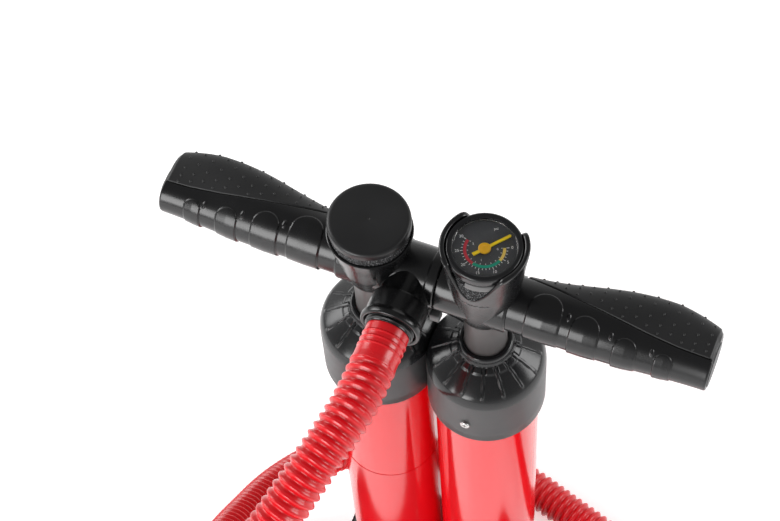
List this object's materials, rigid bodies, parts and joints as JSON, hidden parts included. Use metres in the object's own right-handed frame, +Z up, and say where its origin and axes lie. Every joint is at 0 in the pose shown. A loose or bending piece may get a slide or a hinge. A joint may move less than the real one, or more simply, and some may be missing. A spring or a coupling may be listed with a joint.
{
  "type": "double action hand pump",
  "caption": "Tall hand pump with two upright barrels under one wide handle, a round gauge, a selector knob, a foot and a ribbed hose.",
  "frame": {"origin": "on the floor, midway between the two barrels' axes", "axes": "+Z up, X along the handle with the gauge on the +X side, the hose outlet pointing to -Y"},
  "size_m": [0.525, 0.4115, 0.6666],
  "materials": {
    "black_plastic": "satin moulded",
    "gloss_black": "gloss",
    "soft_black": "matte soft touch",
    "red_barrel": "gloss",
    "rod_grey": "dark anodised satin",
    "red_hose": "semi gloss, ribbed",
    "steel": "plated",
    "rubber": "matte",
    "foam": "open cell foam",
    "dial_grey": "matte print",
    "lens": "clear",
    "yellow": "matte",
    "brass": "machined",
    "white_plastic": "moulded",
    "film": "gloss film"
  },
  "bodies": {
    "pump": {"foot": "black_plastic", "foot_pads": "rubber", "inlet_flaps": "rubber", "flap_buttons": "rubber", "piston_bumpers": "rubber", "barrel_left": "red_barrel", "barrel_right": "red_barrel", "cap_left": "gloss_black", "cap_right": "gloss_black", "rod_bushes": "white_plastic", "rod_seals": "rubber", "barrel_gaskets": "rubber", "barrel_screws": "steel", "label_wrap": "film", "hose": "red_hose", "nozzle_cuff": "red_hose", "nozzle": "black_plastic", "nozzle_seal": "rubber"},
    "handle": {"rod_left": "rod_grey", "rod_right": "rod_grey", "piston_left": "white_plastic", "piston_right": "white_plastic", "wear_rings": "white_plastic", "piston_seals": "rubber", "rod_plugs": "black_plastic", "piston_bolts": "brass", "piston_flaps": "rubber", "flap_cages": "black_plastic", "grip_core_left": "gloss_black", "grip_core_right": "gloss_black", "grip_pad_left": "soft_black", "grip_pad_right": "soft_black", "grip_tubes": "rod_grey", "grip_end_plates": "black_plastic", "cup_left": "black_plastic", "cup_right": "black_plastic", "rod_screws": "steel", "handle_bar": "black_plastic", "filter_foam_left": "foam", "filter_foam_right": "foam", "gauge_case": "black_plastic", "gauge_stem": "brass", "gauge_bezel": "gloss_black", "gauge_dial": "dial_grey", "gauge_lens": "lens", "gauge_movement": "brass", "outlet_seal": "rubber", "hose_cuff": "red_hose", "hose_thread_ring": "black_plastic"},
    "selector": {"selector_knob": "black_plastic", "selector_stem": "black_plastic"},
    "needle": {"gauge_needle": "yellow"},
    "swivel_nut": {"swivel_nut": "black_plastic"}
  },
  "joints": [
    {"name": "handle_slide", "type": "slide", "parent": "pump", "child": "handle", "axis": [0, 0, 1], "range_m": [0, 0.4]},
    {"name": "selector_turn", "type": "hinge", "parent": "handle", "child": "selector", "pos_m": [-0.04525, 0, 0.645], "axis": [0, 0, 1], "range_deg": [0, 90]},
    {"name": "needle_turn", "type": "hinge", "parent": "handle", "child": "needle", "pos_m": [0.04525, 0, 0.657], "axis": [0, 0, 1], "range_deg": [-260, 0], "stiffness_Nm_per_rad": 0.0005},
    {"name": "swivel_nut_turn", "type": "hinge", "parent": "handle", "child": "swivel_nut", "pos_m": [-0.011, -0.04, 0.593], "axis": [0, -1, 0], "range_deg": [0, 90]}
  ]
}
